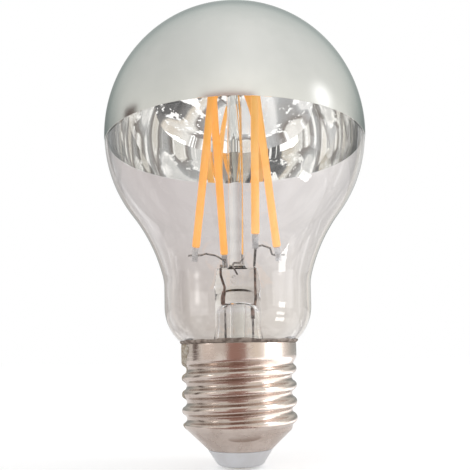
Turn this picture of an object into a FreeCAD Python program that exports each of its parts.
import FreeCAD, Part
import Sketcher
import math
import os

# A round lamp with a mirrored crown, four filaments on a glass stem and a 27 mm screw cap.
# Millimetres. The lamp stands base down: +Z runs up the axis, the origin is the lowest
# point of the contact, and the front is at -Y.

doc = FreeCAD.newDocument("silver_crown_bulb")
sizes = doc.addObject("Spreadsheet::Sheet", "sizes")
DIMENSIONS = {
    # Glass bulb: a sphere, a slightly tighter belly under it, a hollow flare into a straight
    # neck, and a rounded shoulder that draws in to the cap.
    "bulb_radius": 30.0,
    "belly_inset": 1.5,
    "belly_angle": 37.5,
    "flare_angle": 14.5,
    "neck_arc": 12.0,
    "neck_radius": 16.75,
    "neck_length": 4.378,
    "shoulder_arc": 10.5,
    "throat_arc": 4.757030,
    "throat_sink": 3.287563,
    "throat_depth": 6.1,
    "glass_wall": 0.6,
    "crown_edge_drop": 1.64,
    "crown_skin": 0.1,
    # Screw cap: thin sheet, rolled to the standard pitch. Crests and roots are arcs of one
    # radius, and the lowest crest runs straight into the cone.
    "sheet_wall": 0.3,
    "thread_pitch": 3.629,
    "thread_crest_radius": 13.05,
    "thread_depth": 1.1,
    "thread_first_crest": 9.98,
    "skirt_radius": 13.1,
    "rim_height": 27.6,
    "mouth_radius": 7.43,
    "cone_angle": 46.4,
    # Insulator and contact.
    "insulator_face_height": 0.45,
    "insulator_foot_radius": 5.1,
    "insulator_foot_corner": 1.3,
    "insulator_lip_inset": 0.13,
    "insulator_lip_gap": 0.08,
    "insulator_top_height": 6.6,
    "contact_disc_radius": 3.2,
    "contact_disc_thickness": 0.33,
    "rivet_radius": 1.25,
    "rivet_bore_radius": 0.5,
    "rivet_head_radius": 2.0,
    "rivet_head_thickness": 0.35,
    "rivet_clearance": 0.05,
    "solder_radius": 2.1,
    "solder_plug_length": 1.2,
    # Capping cement.
    "cement_depth": 2.3,
    "cement_bead_reach": 0.743467,
    "cement_gap": 1.5,
    "cement_bead_arc": 1.8,
    "cement_rim_inset": 0.1,
    # Stem: flared tube, flat press, pumping hole, pumping tube and centre rod.
    "stem_radius": 5.2,
    "stem_wall": 0.8,
    "flare_length": 10.5,
    "stem_tube_length": 5.5,
    "press_waist_rise": 3.1,
    "press_waist_width": 10.6,
    "press_waist_depth": 3.9,
    "press_length": 7.4,
    "press_top_width": 9.4,
    "press_top_depth": 3.9,
    "pump_hole_radius": 0.75,
    "pump_hole_drop": 2.6,
    "pump_hole_offset": -0.8,
    "pump_channel_radius": 0.9,
    "exhaust_radius": 1.9,
    "exhaust_wall": 0.5,
    "exhaust_drop": 4.0,
    "exhaust_tip_length": 3.0,
    "post_radius": 1.75,
    "post_foot_radius": 2.3,
    "post_foot_slope": 2.0,
    "post_cap_rise": 0.8,
    "button_radius": 2.4,
    "button_rise": 47.7,
    "button_half_length": 2.3,
    # Filaments, tabs and wires.
    "filament_radius": 0.92,
    "filament_length": 41.0,
    "filament_end_round": 0.5,
    "tab_width": 1.35,
    "tab_thickness": 0.25,
    "lower_tab_length": 3.3,
    "upper_tab_length": 2.4,
    "lead_radius": 0.3,
    "cross_wire_radius": 0.22,
    "hook_radius": 0.2,
    "seal_wire_radius": 0.28,
    "seal_knot_radius": 0.45,
    "seal_knot_length": 2.8,
    "outer_lead_radius": 0.25,
    "left_press_exit": -3.75,
    "left_slant_top_drop": 1.5,
    "left_slant_bottom_drop": 4.3,
    "left_stem_exit": -2.95,
    "left_knot_top_drop": 5.5,
    "right_press_exit": 4.0,
    "right_slant_top_drop": 5.0,
    "right_slant_bottom_drop": 8.2,
    "right_stem_exit": 3.4,
    "right_knot_top_drop": 8.9,
    "lead_rise": 0.8,
    "lead_weld_length": 2.3,
    "cross_weld_drop": 1.8,
    "cross_root_drop": 0.5,
    "cross_rise_share": 0.3,
    "cross_fall_share": 0.65,
    "cross_wire_tail": 1.6,
    "cross_wire_arch": 0.9,
    "wire_bend": 0.9,
    "bend_share": 0.45,
    "weld_depth": 0.06,
    "top_wire_spread": 0.95,
    "top_wire_elbow": 2.9,
    "top_wire_elbow_spread": 1.25,
    "top_weld_length": 0.5,
    "hook_gap": 0.1,
    "hook_root_depth": 1.2,
    "hook_root_drop": 1.5,
    "hook_left": -0.9,
    "hook_right": 1.15,
    "hook_low_rise": 1.0,
    "hook_tip_rise": 2.9,
    "hook_bend": 0.4,
    # Where each filament's foot stands, and where its head leans to.
    "foot_1_across": -9.5,
    "foot_1_back": 0.0,
    "foot_1_rise": 5.1,
    "head_1_across": -4.6,
    "head_1_back": -2.2,
    "foot_2_across": -3.1,
    "foot_2_back": 8.0,
    "foot_2_rise": 4.6,
    "head_2_across": -5.2,
    "head_2_back": 2.2,
    "foot_3_across": 4.1,
    "foot_3_back": -8.0,
    "foot_3_rise": 6.5,
    "head_3_across": 4.9,
    "head_3_back": -2.2,
    "foot_4_across": 9.3,
    "foot_4_back": 0.0,
    "foot_4_rise": 4.9,
    "head_4_across": 5.0,
    "head_4_back": 2.2,
    # Driver in the cap.
    "board_radius": 9.6,
    "board_thickness": 1.0,
    "board_height": 13.4,
    "lead_stub_length": 0.8,
    "capacitor_radius": 2.5,
    "capacitor_length": 5.6,
    "capacitor_offset": -5.9,
    "resistor_radius": 1.25,
    "resistor_length": 4.6,
    "resistor_lead_radius": 0.3,
    "resistor_drop": 1.0,
    "rectifier_width": 4.7,
    "rectifier_depth": 3.9,
    "rectifier_thickness": 1.6,
    "rectifier_offset": 5.4,
    "chip_width": 4.9,
    "chip_depth": 3.9,
    "chip_thickness": 1.5,
    "chip_offset": -5.6,
    "side_lead_radius": 0.3,
    "side_lead_height": 18.3,
    "side_lead_offset": 7.6,
}
for row, (dimension, length) in enumerate(DIMENSIONS.items(), start=1):
    sizes.set(f"A{row}", dimension)
    sizes.set(f"B{row}", str(length))
    sizes.setAlias(f"B{row}", dimension)
doc.recompute()


# Heights that follow from the driving sizes, as expressions of them. The glass sits on the
# rim's height, the bulb on its neck, and the stem on the glass's lower edge.
BELLY_ARC = "(bulb_radius - belly_inset)"
FLARE_ARC = (
    f"((neck_radius - belly_inset - {BELLY_ARC} * cos(belly_angle)"
    " + neck_arc * (1 - cos(flare_angle))) / (cos(belly_angle) - cos(flare_angle)))"
)
GLASS_BOTTOM = "(rim_height - throat_depth)"
THROAT_RADIUS = "(skirt_radius - sheet_wall - cement_gap)"
SHOULDER_COS = f"(1 - (neck_radius - {THROAT_RADIUS}) / (shoulder_arc + throat_arc))"
SHOULDER_SIN = f"sqrt(1 - {SHOULDER_COS} ^ 2)"
THROAT_LOW = "(rim_height - throat_sink)"
THROAT_TOP = f"({THROAT_LOW} + throat_arc * {SHOULDER_SIN})"
SHOULDER_TOP = f"({THROAT_TOP} + shoulder_arc * {SHOULDER_SIN})"
NECK_TOP = f"({SHOULDER_TOP} + neck_length)"
FLARE_CENTRE = f"({NECK_TOP} - ({FLARE_ARC} - neck_arc) * sin(flare_angle))"
BULB_CENTRE = f"({FLARE_CENTRE} + ({BELLY_ARC} + {FLARE_ARC}) * sin(belly_angle))"
FLARE_TOP = f"({GLASS_BOTTOM} + flare_length)"
STEM_TOP = f"({FLARE_TOP} + stem_tube_length)"
PRESS_WAIST = f"({STEM_TOP} + press_waist_rise)"
PRESS_TOP = f"({STEM_TOP} + press_length)"
PUMP_HOLE = f"({PRESS_TOP} - pump_hole_drop)"
EXHAUST_TIP = f"({GLASS_BOTTOM} - exhaust_drop)"
BUTTON = f"({PRESS_TOP} + button_rise)"


def value(expression):
    """Work out an expression of sheet names as a plain number."""
    return float(sizes.evalExpression(expression))


def named(name):
    """Read one driving dimension."""
    return float(sizes.get(name))


def origin_plane(body, role):
    """One of a body's own base planes."""
    return next(item for item in body.Origin.OriginFeatures if item.Role == role)


def attach(body, name, role, height=None):
    """A sketch on one of the body's planes, lifted to a height if one is given."""
    sketch = body.newObject("Sketcher::SketchObject", name)
    sketch.AttachmentSupport = (origin_plane(body, role), [""])
    sketch.MapMode = "FlatFace"
    if height is not None:
        sketch.setExpression("AttachmentOffset.Base.z", height)
    doc.recompute()
    return sketch


def in_sheet(expression):
    """Put the sheet's name before each dimension named in an expression."""
    words = []
    word = ""
    for sign in expression + " ":
        if sign.isalnum() or sign in "_.":
            word += sign
            continue
        if word and word[0].isalpha() and "_" in word:
            word = "sizes." + word
        words.append(word + sign)
        word = ""
    return "".join(words).strip()


def pin_point(sketch, index, end, across, up):
    """Tie one end of an edge to the place given by two expressions."""
    for kind, text in (("DistanceX", across), ("DistanceY", up)):
        place = value(text)
        constraint = sketch.addConstraint(Sketcher.Constraint(kind, -1, 1, index, end, place))
        sketch.setExpression(f"Constraints[{constraint}]", in_sheet(text))


def draw_outline(sketch, corners, arcs):
    """Draw a closed outline through corners, with an arc after each corner listed in arcs.

    Corners are pairs of expressions. An arc is its radius and +1 where its centre is to
    the left of the way round, -1 where it is to the right.
    """
    places = [FreeCAD.Vector(value(across), value(up), 0) for across, up in corners]
    count = len(corners)
    for index in range(count):
        start = places[index]
        end = places[(index + 1) % count]
        if index in arcs:
            text, side = arcs[index]
            radius = value(text)
            half = (end - start) / 2
            left = FreeCAD.Vector(-half.y, half.x, 0).normalize()
            reach = math.sqrt(max(radius ** 2 - half.Length ** 2, 0.0))
            centre = start + half + left * side * reach
            middle = centre - left * side * radius
            sketch.addGeometry(Part.Arc(start, middle, end), False)
        else:
            sketch.addGeometry(Part.LineSegment(start, end), False)
    for index in range(count):
        begin = 1
        if index in arcs and arcs[index][1] < 0:
            begin = 2
        pin_point(sketch, index, begin, *corners[index])
        if index in arcs:
            text = arcs[index][0]
            radius = Sketcher.Constraint("Radius", index, value(text))
            constraint = sketch.addConstraint(radius)
            sketch.setExpression(f"Constraints[{constraint}]", in_sheet(text))
    for index in range(count):
        after = (index + 1) % count
        finish = 2
        if index in arcs and arcs[index][1] < 0:
            finish = 1
        begin = 1
        if after in arcs and arcs[after][1] < 0:
            begin = 2
        sketch.addConstraint(Sketcher.Constraint("Coincident", index, finish, after, begin))


def turned(label, corners, arcs=None):
    """A body turned about the lamp's axis from an outline of radius and height."""
    body = doc.addObject("PartDesign::Body", label)
    sketch = attach(body, label + "_outline", "XZ_Plane")
    draw_outline(sketch, corners, arcs or {})
    turn = body.newObject("PartDesign::Revolution", label + "_turn")
    turn.Profile = sketch
    turn.ReferenceAxis = (sketch, ["V_Axis"])
    turn.Angle = 360
    body.Tip = turn
    doc.recompute()
    return body


def glass_side(offset):
    """The glass outline from the throat up to the crown, drawn in by an offset.

    Every stretch is an arc about a fixed centre, so an inner surface is the same outline
    with the radii of round stretches smaller and those of hollow ones larger.
    """
    neck_across = "(neck_radius + neck_arc)"
    shoulder_across = "(neck_radius - shoulder_arc)"
    corners = [
        (f"{THROAT_RADIUS} - {offset}", GLASS_BOTTOM),
        (f"{THROAT_RADIUS} - {offset}", THROAT_LOW),
        (
            f"{shoulder_across} + (shoulder_arc - {offset}) * {SHOULDER_COS}",
            f"{SHOULDER_TOP} - (shoulder_arc - {offset}) * {SHOULDER_SIN}",
        ),
        (f"neck_radius - {offset}", SHOULDER_TOP),
        (f"neck_radius - {offset}", NECK_TOP),
        (
            f"{neck_across} - (neck_arc + {offset}) * cos(flare_angle)",
            f"{NECK_TOP} + (neck_arc + {offset}) * sin(flare_angle)",
        ),
        (
            f"belly_inset + ({BELLY_ARC} - {offset}) * cos(belly_angle)",
            f"{BULB_CENTRE} - ({BELLY_ARC} - {offset}) * sin(belly_angle)",
        ),
        (f"bulb_radius - {offset}", BULB_CENTRE),
        ("0", f"{BULB_CENTRE} + bulb_radius - {offset}"),
    ]
    arcs = {
        1: (f"throat_arc + {offset}", -1),
        2: (f"shoulder_arc - {offset}", 1),
        4: (f"neck_arc + {offset}", -1),
        5: (f"{FLARE_ARC} + {offset}", -1),
        6: (f"{BELLY_ARC} - {offset}", 1),
        7: (f"bulb_radius - {offset}", 1),
    }
    return corners, arcs


def make_glass():
    """Blown bulb: the outer outline up and the inner one down again."""
    outer, outer_arcs = glass_side("0")
    inner, inner_arcs = glass_side("glass_wall")
    corners = outer + inner[::-1]
    arcs = dict(outer_arcs)
    last = len(corners) - 2
    for index, (radius, side) in inner_arcs.items():
        arcs[last - index] = (radius, -side)
    return turned("glass_envelope", corners, arcs)


def make_crown():
    """Mirror skin on the glass, from a little under the widest line to the top."""
    drop = "crown_edge_drop"
    corners = [
        (f"belly_inset + sqrt({BELLY_ARC} ^ 2 - {drop} ^ 2)", f"{BULB_CENTRE} - {drop}"),
        (
            f"belly_inset + sqrt(({BELLY_ARC} + crown_skin) ^ 2 - {drop} ^ 2)",
            f"{BULB_CENTRE} - {drop}",
        ),
        ("bulb_radius + crown_skin", BULB_CENTRE),
        ("0", f"{BULB_CENTRE} + bulb_radius + crown_skin"),
        ("0", f"{BULB_CENTRE} + bulb_radius"),
        ("bulb_radius", BULB_CENTRE),
    ]
    arcs = {
        1: (f"{BELLY_ARC} + crown_skin", 1),
        2: ("bulb_radius + crown_skin", 1),
        4: ("bulb_radius", -1),
        5: (BELLY_ARC, -1),
    }
    return turned("crown_mirror", corners, arcs)


def make_cement():
    """Cement between the throat and the skirt, with a bead squeezed out over the rim."""
    inside = "(skirt_radius - sheet_wall)"
    floor = "(rim_height - cement_depth)"
    bead_drop = f"(shoulder_arc * {SHOULDER_SIN} - cement_bead_reach)"
    corners = [
        (
            f"{THROAT_RADIUS} + throat_arc - sqrt(throat_arc ^ 2 - (throat_sink - cement_depth) ^ 2)",
            floor,
        ),
        (inside, floor),
        (inside, "rim_height"),
        ("skirt_radius - cement_rim_inset", "rim_height"),
        (
            f"neck_radius - shoulder_arc + sqrt(shoulder_arc ^ 2 - {bead_drop} ^ 2)",
            f"{THROAT_TOP} + cement_bead_reach",
        ),
        (
            f"neck_radius - shoulder_arc + shoulder_arc * {SHOULDER_COS}",
            THROAT_TOP,
        ),
    ]
    arcs = {
        3: ("cement_bead_arc", 1),
        4: ("shoulder_arc", -1),
        5: ("throat_arc", 1),
    }
    return turned("cement_ring", corners, arcs)


def make_stem():
    """Flared tube with a flat press on top, a pumping hole and its channel."""
    inner = "(stem_radius - stem_wall)"
    flare_out = f"({THROAT_RADIUS} - glass_wall)"
    reach = f"({flare_out} - stem_radius)"
    sweep = f"(({reach} ^ 2 + flare_length ^ 2) / (2 * {reach}))"
    lip = f"(stem_radius + {sweep} - sqrt(({sweep} + stem_wall) ^ 2 - flare_length ^ 2))"
    corners = [
        (flare_out, GLASS_BOTTOM),
        ("stem_radius", FLARE_TOP),
        ("stem_radius", STEM_TOP),
        (inner, STEM_TOP),
        (inner, FLARE_TOP),
        (lip, GLASS_BOTTOM),
    ]
    arcs = {
        0: (sweep, -1),
        4: (f"{sweep} + stem_wall", 1),
    }
    body = turned("stem_blank", corners, arcs)
    sections = []
    for name, across, deep, height in (
        ("press_root", "stem_radius * 2", "stem_radius * 2", STEM_TOP),
        ("press_waist", "press_waist_width", "press_waist_depth", PRESS_WAIST),
        ("press_top", "press_top_width", "press_top_depth", PRESS_TOP),
    ):
        sketch = attach(body, name, "XY_Plane", in_sheet(height))
        wide = value(across) / 2
        slim = value(deep) / 2
        if wide - slim < 0.001:
            sketch.addGeometry(Part.Circle(FreeCAD.Vector(), FreeCAD.Vector(0, 0, 1), wide), False)
            sketch.addConstraint(Sketcher.Constraint("Coincident", 0, 3, -1, 1))
            constraint = sketch.addConstraint(Sketcher.Constraint("Radius", 0, wide))
            sketch.setExpression(f"Constraints[{constraint}]", in_sheet(f"({across}) / 2"))
        else:
            right = FreeCAD.Vector(wide, 0, 0)
            back = FreeCAD.Vector(0, slim, 0)
            sketch.addGeometry(Part.Ellipse(right, back, FreeCAD.Vector()), False)
            sketch.exposeInternalGeometry(0)
            sketch.addConstraint(Sketcher.Constraint("Coincident", 0, 3, -1, 1))
            sketch.addConstraint(Sketcher.Constraint("Horizontal", 1))
            for line, text in ((1, across), (2, deep)):
                constraint = sketch.addConstraint(Sketcher.Constraint("Distance", line, value(text)))
                sketch.setExpression(f"Constraints[{constraint}]", in_sheet(text))
        sections.append(sketch)
    doc.recompute()
    press = body.newObject("PartDesign::AdditiveLoft", "press")
    press.Profile = sections[0]
    press.Sections = sections[1:]
    body.Tip = press
    doc.recompute()
    whole = body.Shape.Volume
    channel_sketch = attach(body, "pump_channel_outline", "XY_Plane", in_sheet(STEM_TOP))
    offset = named("pump_hole_offset")
    ring = Part.Circle(FreeCAD.Vector(offset, 0, 0), FreeCAD.Vector(0, 0, 1), named("pump_channel_radius"))
    channel_sketch.addGeometry(ring, False)
    pin_point(channel_sketch, 0, 3, "pump_hole_offset", "0 * stem_radius")
    constraint = channel_sketch.addConstraint(Sketcher.Constraint("Radius", 0, named("pump_channel_radius")))
    channel_sketch.setExpression(f"Constraints[{constraint}]", "sizes.pump_channel_radius")
    channel = body.newObject("PartDesign::Pocket", "pump_channel")
    channel.Profile = channel_sketch
    channel.Reversed = True
    channel.setExpression("Length", "sizes.press_length - sizes.pump_hole_drop")
    body.Tip = channel
    doc.recompute()
    hole_sketch = attach(body, "pump_hole_outline", "XZ_Plane")
    place = FreeCAD.Vector(offset, value(PUMP_HOLE), 0)
    ring = Part.Circle(place, FreeCAD.Vector(0, 0, 1), named("pump_hole_radius"))
    hole_sketch.addGeometry(ring, False)
    pin_point(hole_sketch, 0, 3, "pump_hole_offset", PUMP_HOLE)
    constraint = hole_sketch.addConstraint(Sketcher.Constraint("Radius", 0, named("pump_hole_radius")))
    hole_sketch.setExpression(f"Constraints[{constraint}]", "sizes.pump_hole_radius")
    hole = body.newObject("PartDesign::Pocket", "pump_hole")
    hole.Profile = hole_sketch
    hole.Reversed = True
    hole.setExpression("Length", "sizes.press_waist_depth")
    body.Tip = hole
    doc.recompute()
    print("stem", round(whole, 2), "with the pumping hole", round(body.Shape.Volume, 2))
    return body


CRESTS = 4
THREAD_ARC = "((thread_pitch ^ 2 / 16 + thread_depth ^ 2 / 4) / thread_depth)"
FLANK_COS = f"(({THREAD_ARC} - thread_depth / 2) / {THREAD_ARC})"
FLANK_SIN = f"(thread_pitch / 4 / {THREAD_ARC})"
CREST_CENTRE = f"(thread_crest_radius - {THREAD_ARC})"
CONE_TOP_RADIUS = f"({CREST_CENTRE} + {THREAD_ARC} * cos(cone_angle))"
CONE_TOP_HEIGHT = f"(thread_first_crest - {THREAD_ARC} * sin(cone_angle))"
MOUTH_HEIGHT = f"({CONE_TOP_HEIGHT} - ({CONE_TOP_RADIUS} - mouth_radius) / tan(cone_angle))"


def sheet_side(offset):
    """The cap's outline from the mouth to the rim, drawn in by an offset."""
    convex = f"({THREAD_ARC} - {offset})"
    hollow = f"({THREAD_ARC} + {offset})"
    flank = f"{CREST_CENTRE} + {convex} * {FLANK_COS}"
    corners = [
        (f"mouth_radius - {offset} * cos(cone_angle)", f"{MOUTH_HEIGHT} + {offset} * sin(cone_angle)"),
        (
            f"{CREST_CENTRE} + {convex} * cos(cone_angle)",
            f"thread_first_crest - {convex} * sin(cone_angle)",
        ),
    ]
    arcs = {}
    for turn in range(CRESTS):
        crest = f"(thread_first_crest + {turn} * thread_pitch)"
        if turn > 0:
            corners.append((flank, f"{crest} - {convex} * {FLANK_SIN}"))
        arcs[len(corners) - 1] = (convex, 1)
        corners.append((flank, f"{crest} + {convex} * {FLANK_SIN}"))
        arcs[len(corners) - 1] = (hollow, -1)
    root = f"(thread_first_crest + {CRESTS - 0.5} * thread_pitch)"
    corners.append(
        (
            f"thread_crest_radius - thread_depth + {THREAD_ARC} - {hollow} * {FLANK_COS}",
            f"{root} + {hollow} * {FLANK_SIN}",
        )
    )
    reach = "(skirt_radius - thread_crest_radius + thread_depth / 2)"
    bend = f"({reach} / (1 - {FLANK_COS}))"
    arcs[len(corners) - 1] = (f"{bend} - {offset}", 1)
    skirt = f"skirt_radius - {offset}"
    corners.append((skirt, f"{root} + ({THREAD_ARC} + {bend}) * {FLANK_SIN}"))
    corners.append((skirt, "rim_height"))
    return corners, arcs


def make_sheet():
    """Screw cap of one thin sheet."""
    outer, outer_arcs = sheet_side("0")
    inner, inner_arcs = sheet_side("sheet_wall")
    corners = outer + inner[::-1]
    arcs = dict(outer_arcs)
    last = len(corners) - 2
    for index, (radius, side) in inner_arcs.items():
        arcs[last - index] = (radius, -side)
    return turned("screw_shell", corners, arcs)


def make_insulator():
    """White cone under the cap, with a flange inside it and a bore for the rivet."""
    face = "insulator_face_height"
    lip = "(mouth_radius - insulator_lip_inset)"
    lip_up = f"({MOUTH_HEIGHT} - insulator_lip_gap)"
    slope = f"atan(({lip} - insulator_foot_radius) / ({lip_up} - {face}))"
    run = f"(insulator_foot_corner * tan((90 - {slope} / 1 deg) / 2))"
    neck = "(mouth_radius - sheet_wall * cos(cone_angle) - insulator_lip_gap)"
    edge_across = "(mouth_radius - sheet_wall * cos(cone_angle))"
    edge_up = f"({MOUTH_HEIGHT} + sheet_wall * sin(cone_angle))"
    top = "insulator_top_height"
    bore = "(rivet_radius + rivet_clearance)"
    corners = [
        (bore, face),
        (f"insulator_foot_radius - {run}", face),
        (
            f"insulator_foot_radius + {run} * sin({slope})",
            f"{face} + {run} * cos({slope})",
        ),
        (lip, lip_up),
        (neck, lip_up),
        (neck, f"{edge_up} + ({neck} - {edge_across}) / tan(cone_angle)"),
        (f"{edge_across} + ({top} - {edge_up}) * tan(cone_angle)", top),
        (bore, top),
    ]
    return turned("insulator", corners, {1: ("insulator_foot_corner", 1)})


def make_contact():
    """Contact disc with a hollow rivet through the insulator, headed over on top."""
    face = "insulator_face_height"
    bottom = f"{face} - contact_disc_thickness"
    top = "insulator_top_height"
    crown_top = f"{top} + rivet_head_thickness"
    corners = [
        ("rivet_bore_radius", bottom),
        ("contact_disc_radius", bottom),
        ("contact_disc_radius", face),
        ("rivet_radius", face),
        ("rivet_radius", top),
        ("rivet_head_radius", top),
        ("rivet_head_radius", crown_top),
        ("rivet_bore_radius", crown_top),
    ]
    return turned("centre_contact", corners)


def make_solder():
    """Drop of solder under the disc, with a plug up the rivet's bore."""
    bottom = "(insulator_face_height - contact_disc_thickness)"
    corners = [
        ("0 * solder_radius", "0 * solder_radius"),
        ("solder_radius", bottom),
        ("rivet_bore_radius", bottom),
        ("rivet_bore_radius", f"{bottom} + solder_plug_length"),
        ("0 * solder_radius", f"{bottom} + solder_plug_length"),
    ]
    arc = f"((solder_radius ^ 2 + {bottom} ^ 2) / (2 * {bottom}))"
    return turned("contact_solder", corners, {0: (arc, 1)})


def feature(label, shape):
    """A sub-part whose shape is worked out here."""
    item = doc.addObject("Part::Feature", label)
    item.Shape = shape
    item.Placement = FreeCAD.Placement()
    return item


def carved(label, base, tools):
    """A sub-part with the places of its neighbours cut out of it."""
    group = doc.addObject("Part::Compound", label + "_neighbours")
    group.Links = tools
    cut = doc.addObject("Part::Cut", label)
    cut.Base = base
    cut.Tool = group
    doc.recompute()
    return cut


def bent_wire(points, radius, bend):
    """Round wire along straight runs joined by arcs that touch both runs."""
    edges = []
    start = points[0]
    for before, corner, after in zip(points, points[1:], points[2:]):
        back = (before - corner).normalize()
        ahead = (after - corner).normalize()
        half_turn = (math.pi - back.getAngle(ahead)) / 2
        run = min((before - corner).Length, (after - corner).Length)
        trim = min(bend * math.tan(half_turn), named("bend_share") * run)
        arc_radius = trim / math.tan(half_turn)
        enter = corner + back * trim
        leave = corner + ahead * trim
        inward = (back + ahead).normalize()
        middle = corner + inward * (arc_radius / math.cos(half_turn) - arc_radius)
        edges.append(Part.LineSegment(start, enter).toShape())
        edges.append(Part.Arc(enter, middle, leave).toShape())
        start = leave
    edges.append(Part.LineSegment(start, points[-1]).toShape())
    path = Part.Wire(edges)
    section = Part.Wire(Part.makeCircle(radius, points[0], points[1] - points[0]))
    return path.makePipeShell([section], True, True)


class Filament:
    """Where one filament stands: its foot, the way to its head, and its tabs' faces."""

    def __init__(self, number, foot, head_across, head_back):
        self.number = number
        self.foot = foot
        gain = FreeCAD.Vector(head_across - foot.x, head_back - foot.y, 0)
        gain.z = math.sqrt(named("filament_length") ** 2 - gain.Length ** 2)
        self.up = FreeCAD.Vector(gain).normalize()
        self.head = foot + gain
        self.back = FreeCAD.Vector(0, 1, 0)
        self.back = (self.back - self.up * self.back.dot(self.up)).normalize()
        self.side = self.back.cross(self.up)

    def frame(self, place):
        """Placement at a place, with X along the tabs' width and Z along the filament."""
        turn = FreeCAD.Rotation(self.side, self.back, self.up, "ZXY")
        return FreeCAD.Placement(place, turn)

    def below(self, distance, shift=0.0):
        """A place under the foot, moved back by a shift."""
        return self.foot - self.up * distance + self.back * shift

    def above(self, distance, shift=0.0):
        """A place over the head, moved back by a shift."""
        return self.head + self.up * distance + self.back * shift


def make_filament(filament):
    """Phosphor coated rod with softly rounded ends."""
    edge = "(filament_radius - filament_end_round)"
    corners = [
        ("0 * filament_radius", "0 * filament_radius"),
        (edge, "0 * filament_radius"),
        ("filament_radius", "filament_end_round"),
        ("filament_radius", "filament_length - filament_end_round"),
        (edge, "filament_length"),
        ("0 * filament_radius", "filament_length"),
    ]
    arcs = {1: ("filament_end_round", 1), 3: ("filament_end_round", 1)}
    body = turned(f"filament_{filament.number}", corners, arcs)
    body.Placement = filament.frame(filament.foot)
    return body


def make_tab(name, length, filament, start):
    """Flat metal tab, centred on the filament's line."""
    tab = doc.addObject("Part::Box", name)
    tab.setExpression("Length", "sizes.tab_width")
    tab.setExpression("Width", "sizes.tab_thickness")
    tab.setExpression("Height", "sizes." + length)
    corner = filament.side * (-named("tab_width") / 2) + filament.back * (-named("tab_thickness") / 2)
    tab.Placement = filament.frame(start + corner)
    return tab


def make_rod(name, radius, height, bottom):
    """Round straight piece standing on a place."""
    rod = doc.addObject("Part::Cylinder", name)
    rod.setExpression("Radius", radius)
    rod.setExpression("Height", height)
    rod.Placement = FreeCAD.Placement(bottom, FreeCAD.Rotation())
    return rod


def make_post():
    """Glass rod on a spread foot, with a rounded button on top that holds the wires."""
    neck_height = f"({BUTTON} - button_half_length)"
    cap_height = f"({BUTTON} + button_half_length)"
    button_arc = (
        "(((button_radius - post_radius) ^ 2 + button_half_length ^ 2)"
        " / (2 * (button_radius - post_radius)))"
    )
    spread = "(post_foot_radius - post_radius)"
    corners = [
        ("0 * post_radius", PRESS_TOP),
        ("post_foot_radius", PRESS_TOP),
        ("post_radius", f"{PRESS_TOP} + {spread} * post_foot_slope"),
        ("post_radius", neck_height),
        ("button_radius", BUTTON),
        ("post_radius", cap_height),
        ("0 * post_radius", f"{cap_height} + post_cap_rise"),
    ]
    cap_arc = "((post_radius ^ 2 + post_cap_rise ^ 2) / (2 * post_cap_rise))"
    foot_arc = f"({spread} * (1 + post_foot_slope ^ 2) / 2)"
    arcs = {1: (foot_arc, -1), 3: (button_arc, 1), 4: (button_arc, 1), 5: (cap_arc, 1)}
    return turned("post_blank", corners, arcs)


def make_exhaust():
    """Thin tube hanging in the stem, melted shut at its lower tip."""
    bore = "(exhaust_radius - exhaust_wall)"
    corners = [
        ("0 * exhaust_radius", EXHAUST_TIP),
        ("exhaust_radius", f"{EXHAUST_TIP} + exhaust_tip_length"),
        ("exhaust_radius", STEM_TOP),
        (bore, STEM_TOP),
        (bore, f"{EXHAUST_TIP} + exhaust_tip_length"),
        ("0 * exhaust_radius", f"{EXHAUST_TIP} + exhaust_wall + exhaust_wall"),
    ]
    outer_arc = "((exhaust_radius ^ 2 + exhaust_tip_length ^ 2) / (2 * exhaust_tip_length))"
    depth = "(exhaust_tip_length - exhaust_wall - exhaust_wall)"
    inner_arc = f"(({bore} ^ 2 + {depth} ^ 2) / (2 * {depth}))"
    return turned("exhaust_tube", corners, {0: (outer_arc, 1), 4: (inner_arc, -1)})


def make_block(name, prefix, bottom):
    """Moulded part lying on the board, set back or forward by its own offset."""
    block = doc.addObject("Part::Box", name)
    block.setExpression("Length", f"sizes.{prefix}_width")
    block.setExpression("Width", f"sizes.{prefix}_depth")
    block.setExpression("Height", f"sizes.{prefix}_thickness")
    corner = FreeCAD.Vector(
        -named(prefix + "_width") / 2,
        named(prefix + "_offset") - named(prefix + "_depth") / 2,
        bottom,
    )
    block.Placement = FreeCAD.Placement(corner, FreeCAD.Rotation())
    return block


def make_outside(height):
    """Ring outside the middle of the sheet, where a wire soldered inside must not reach."""
    ring = Part.makeCylinder(
        value("thread_crest_radius + thread_pitch"),
        named("thread_pitch"),
        FreeCAD.Vector(0, 0, height - named("thread_pitch") / 2),
    )
    core = Part.makeCylinder(
        value("thread_crest_radius - thread_depth - sheet_wall / 2"),
        named("thread_pitch"),
        FreeCAD.Vector(0, 0, height - named("thread_pitch") / 2),
    )
    return ring.cut(core)


def make_board():
    """Round board before its lead holes are made."""
    body = doc.addObject("PartDesign::Body", "board_blank")
    sketch = attach(body, "board_outline", "XY_Plane", "sizes.board_height")
    radius = named("board_radius")
    sketch.addGeometry(Part.Circle(FreeCAD.Vector(), FreeCAD.Vector(0, 0, 1), radius), False)
    sketch.addConstraint(Sketcher.Constraint("Coincident", 0, 3, -1, 1))
    constraint = sketch.addConstraint(Sketcher.Constraint("Radius", 0, radius))
    sketch.setExpression(f"Constraints[{constraint}]", "sizes.board_radius")
    plate = body.newObject("PartDesign::Pad", "board_plate")
    plate.Profile = sketch
    plate.setExpression("Length", "sizes.board_thickness")
    body.Tip = plate
    doc.recompute()
    return body


glass = make_glass()
crown = make_crown()
cement = make_cement()
stem_blank = make_stem()
sheet = make_sheet()
insulator = make_insulator()
contact = make_contact()
solder = make_solder()

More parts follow.
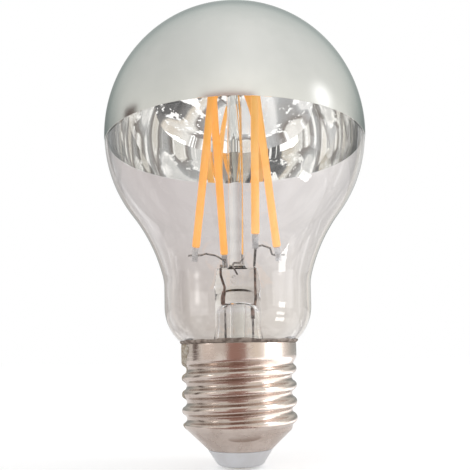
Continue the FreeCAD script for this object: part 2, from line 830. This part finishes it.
# Filaments: feet stand round the post, and heads meet in a pair on each side of it.
press_top = value(PRESS_TOP)
filaments = []
rods = []
for number in (1, 2, 3, 4):
    foot = FreeCAD.Vector(
        named(f"foot_{number}_across"),
        named(f"foot_{number}_back"),
        press_top + named(f"foot_{number}_rise"),
    )
    filament = Filament(number, foot, named(f"head_{number}_across"), named(f"head_{number}_back"))
    filaments.append(filament)
    rods.append(make_filament(filament))
outer_left, inner_left, inner_right, outer_right = filaments

# Seal wires run through the press, and each ends below in a thicker weld knot.
board_bottom = named("board_height")
board_top = board_bottom + named("board_thickness")
stub = named("lead_stub_length")
bend = named("wire_bend")
seal_wires = []
outer_leads = []
for side in ("left", "right"):
    exit_above = named(side + "_press_exit")
    exit_below = named(side + "_stem_exit")
    knot_top = press_top - named(side + "_knot_top_drop")
    knot_bottom = knot_top - named("seal_knot_length")
    points = [
        FreeCAD.Vector(exit_above, 0, press_top),
        FreeCAD.Vector(exit_above, 0, press_top - named(side + "_slant_top_drop")),
        FreeCAD.Vector(exit_below, 0, press_top - named(side + "_slant_bottom_drop")),
        FreeCAD.Vector(exit_below, 0, knot_top),
    ]
    wire = bent_wire(points, named("seal_wire_radius"), bend)
    knot = Part.makeCylinder(
        named("seal_knot_radius"),
        named("seal_knot_length"),
        FreeCAD.Vector(exit_below, 0, knot_bottom),
    )
    seal_wires.append(feature("seal_wire_" + side, wire.fuse(knot)))
    lead_bottom = FreeCAD.Vector(exit_below, 0, board_bottom - stub)
    height = in_sheet(
        f"{PRESS_TOP} - {side}_knot_top_drop - seal_knot_length - board_height + lead_stub_length"
    )
    outer_leads.append(make_rod("outer_lead_" + side, "sizes.outer_lead_radius", height, lead_bottom))

# Inner leads rise from the press and lie along the tabs of the two inner filaments.
tab_reach = named("lower_tab_length")
weld_end = tab_reach - named("lead_weld_length")
on_tab = named("tab_thickness") / 2 + named("lead_radius") - named("weld_depth")
leads = []
for side, filament, shift in (("left", inner_left, -on_tab), ("right", inner_right, on_tab)):
    across = named(side + "_press_exit")
    points = [
        FreeCAD.Vector(across, 0, press_top),
        FreeCAD.Vector(across, 0, press_top + named("lead_rise")),
        filament.below(tab_reach, shift),
        filament.below(weld_end, shift),
    ]
    leads.append(feature("lead_" + side, bent_wire(points, named("lead_radius"), bend)))

# Cross wires leave the inner leads, arch over and pass behind the outer filaments' tabs.
cross_radius = named("cross_wire_radius")
behind = named("tab_thickness") / 2 + cross_radius - named("weld_depth")
arch = FreeCAD.Vector(0, 0, named("cross_wire_arch"))
cross_wires = []
for side, start, outer, way, lead in (
    ("left", inner_left.below(weld_end + named("cross_root_drop"), -on_tab), outer_left, -1, leads[0]),
    ("right", inner_right.below(tab_reach - named("cross_root_drop"), on_tab), outer_right, 1, leads[1]),
):
    end = outer.below(named("cross_weld_drop"), behind)
    run = end - start
    points = [
        start,
        start + run * named("cross_rise_share") + arch,
        start + run * named("cross_fall_share") + arch,
        end - FreeCAD.Vector(way * named("tab_width"), 0, 0),
        end + FreeCAD.Vector(way * named("cross_wire_tail"), 0, 0),
    ]
    whole = bent_wire(points, cross_radius, bend)
    cross_wires.append(feature("cross_wire_" + side, whole.cut(lead.Shape)))

# Top wires pass through the button and join a front pair and a rear pair of upper tabs.
top_wires = []
button = value(BUTTON)
elbow = named("top_wire_elbow")
weld_height = named("upper_tab_length") - named("top_weld_length")
for name, first, second, way in (
    ("top_wire_front", outer_left, inner_right, -1),
    ("top_wire_rear", inner_left, outer_right, 1),
):
    points = [
        first.above(weld_height, -way * behind),
        FreeCAD.Vector(-elbow, way * named("top_wire_elbow_spread"), button),
        FreeCAD.Vector(-elbow / 2, way * named("top_wire_spread"), button),
        FreeCAD.Vector(elbow / 2, way * named("top_wire_spread"), button),
        FreeCAD.Vector(elbow, way * named("top_wire_elbow_spread"), button),
        second.above(weld_height, -way * behind),
    ]
    top_wires.append(feature(name, bent_wire(points, cross_radius, bend)))

# Tabs: each has a groove where a wire is welded in.
lower_welds = [[cross_wires[0]], [leads[0]], [leads[1]], [cross_wires[1]]]
upper_welds = [top_wires[0], top_wires[1], top_wires[0], top_wires[1]]
tabs = []
for filament, lower, upper in zip(filaments, lower_welds, upper_welds):
    blank = make_tab(
        f"lower_blank_{filament.number}", "lower_tab_length", filament, filament.below(tab_reach)
    )
    tabs.append(carved(f"lower_tab_{filament.number}", blank, lower))
    blank = make_tab(
        f"upper_blank_{filament.number}", "upper_tab_length", filament, filament.above(0)
    )
    tabs.append(carved(f"upper_tab_{filament.number}", blank, [upper]))

# Hook wire: stands in the front of the press and curls round the foot of the post.
hook_front = -value("post_foot_radius + hook_radius + hook_gap")
low = press_top + named("hook_low_rise")
hook_points = [
    FreeCAD.Vector(0, -named("hook_root_depth"), press_top - named("hook_root_drop")),
    FreeCAD.Vector(named("hook_left"), hook_front, press_top),
    FreeCAD.Vector(named("hook_left"), hook_front, low),
    FreeCAD.Vector(named("hook_right") / 2, hook_front, low),
    FreeCAD.Vector(named("hook_right"), hook_front, low + named("hook_right") / 2),
    FreeCAD.Vector(named("hook_right"), hook_front, press_top + named("hook_tip_rise")),
]
hook = feature("hook_wire", bent_wire(hook_points, named("hook_radius"), named("hook_bend")))

stem = carved("glass_stem", stem_blank, seal_wires + [hook])
post = carved("centre_post", make_post(), top_wires)
exhaust = make_exhaust()

# Driver in the cap: a round board with parts on both faces, between the leads.
capacitor_place = FreeCAD.Vector(
    named("capacitor_offset"), 0, board_bottom - named("capacitor_length")
)
capacitor = make_rod(
    "input_capacitor", "sizes.capacitor_radius", "sizes.capacitor_length", capacitor_place
)
resistor_bottom = board_bottom - named("resistor_drop") - named("resistor_length")
resistor = make_rod(
    "fuse_resistor",
    "sizes.resistor_radius",
    "sizes.resistor_length",
    FreeCAD.Vector(0, 0, resistor_bottom),
)
resistor_lead = make_rod(
    "resistor_lead",
    "sizes.resistor_lead_radius",
    "sizes.resistor_drop + sizes.board_thickness + sizes.lead_stub_length",
    FreeCAD.Vector(0, 0, board_bottom - named("resistor_drop")),
)
solder_top = value("insulator_face_height - contact_disc_thickness + solder_plug_length")
centre_lead = make_rod(
    "centre_lead",
    "sizes.resistor_lead_radius",
    "sizes.board_height - sizes.resistor_drop - sizes.resistor_length"
    " - sizes.insulator_face_height + sizes.contact_disc_thickness - sizes.solder_plug_length",
    FreeCAD.Vector(0, 0, solder_top),
)
rectifier = make_block("bridge_rectifier", "rectifier", board_top)
chip = make_block("driver_chip", "chip", board_top)

# Side lead: up beside the board and out to the inside of the thread, where it is soldered.
side_across = named("side_lead_offset")
side_height = named("side_lead_height")
side_points = [
    FreeCAD.Vector(side_across, 0, board_bottom - stub),
    FreeCAD.Vector(side_across, 0, side_height),
    FreeCAD.Vector(named("thread_crest_radius"), 0, side_height),
]
side_wire = bent_wire(side_points, named("side_lead_radius"), bend)
filled = sheet.Shape.fuse(make_outside(side_height))
side_lead = feature("side_lead", side_wire.cut(filled))

board = carved("driver_board", make_board(), outer_leads + [side_lead, resistor_lead])

nodes = [
    glass,
    crown,
    stem,
    post,
    exhaust,
    *rods,
    *tabs,
    *top_wires,
    *leads,
    *cross_wires,
    *seal_wires,
    *outer_leads,
    hook,
    sheet,
    insulator,
    cement,
    contact,
    solder,
    board,
    rectifier,
    chip,
    capacitor,
    resistor,
    resistor_lead,
    side_lead,
    centre_lead,
]
doc.recompute()
for item in doc.Objects:
    if "Invalid" in item.State or "Error" in item.State:
        raise RuntimeError(f"{item.Label} did not build: {item.State}")
for item in nodes:
    if item.Shape.isNull() or not item.Shape.isValid():
        raise RuntimeError(f"{item.Label} has no sound shape")
    if len(item.Shape.Solids) != 1:
        raise RuntimeError(f"{item.Label} is {len(item.Shape.Solids)} solids")
os.makedirs("parts", exist_ok=True)
for item in nodes:
    item.Shape.exportStep(f"parts/{item.Label}.step")
print(len(nodes), "pieces written")
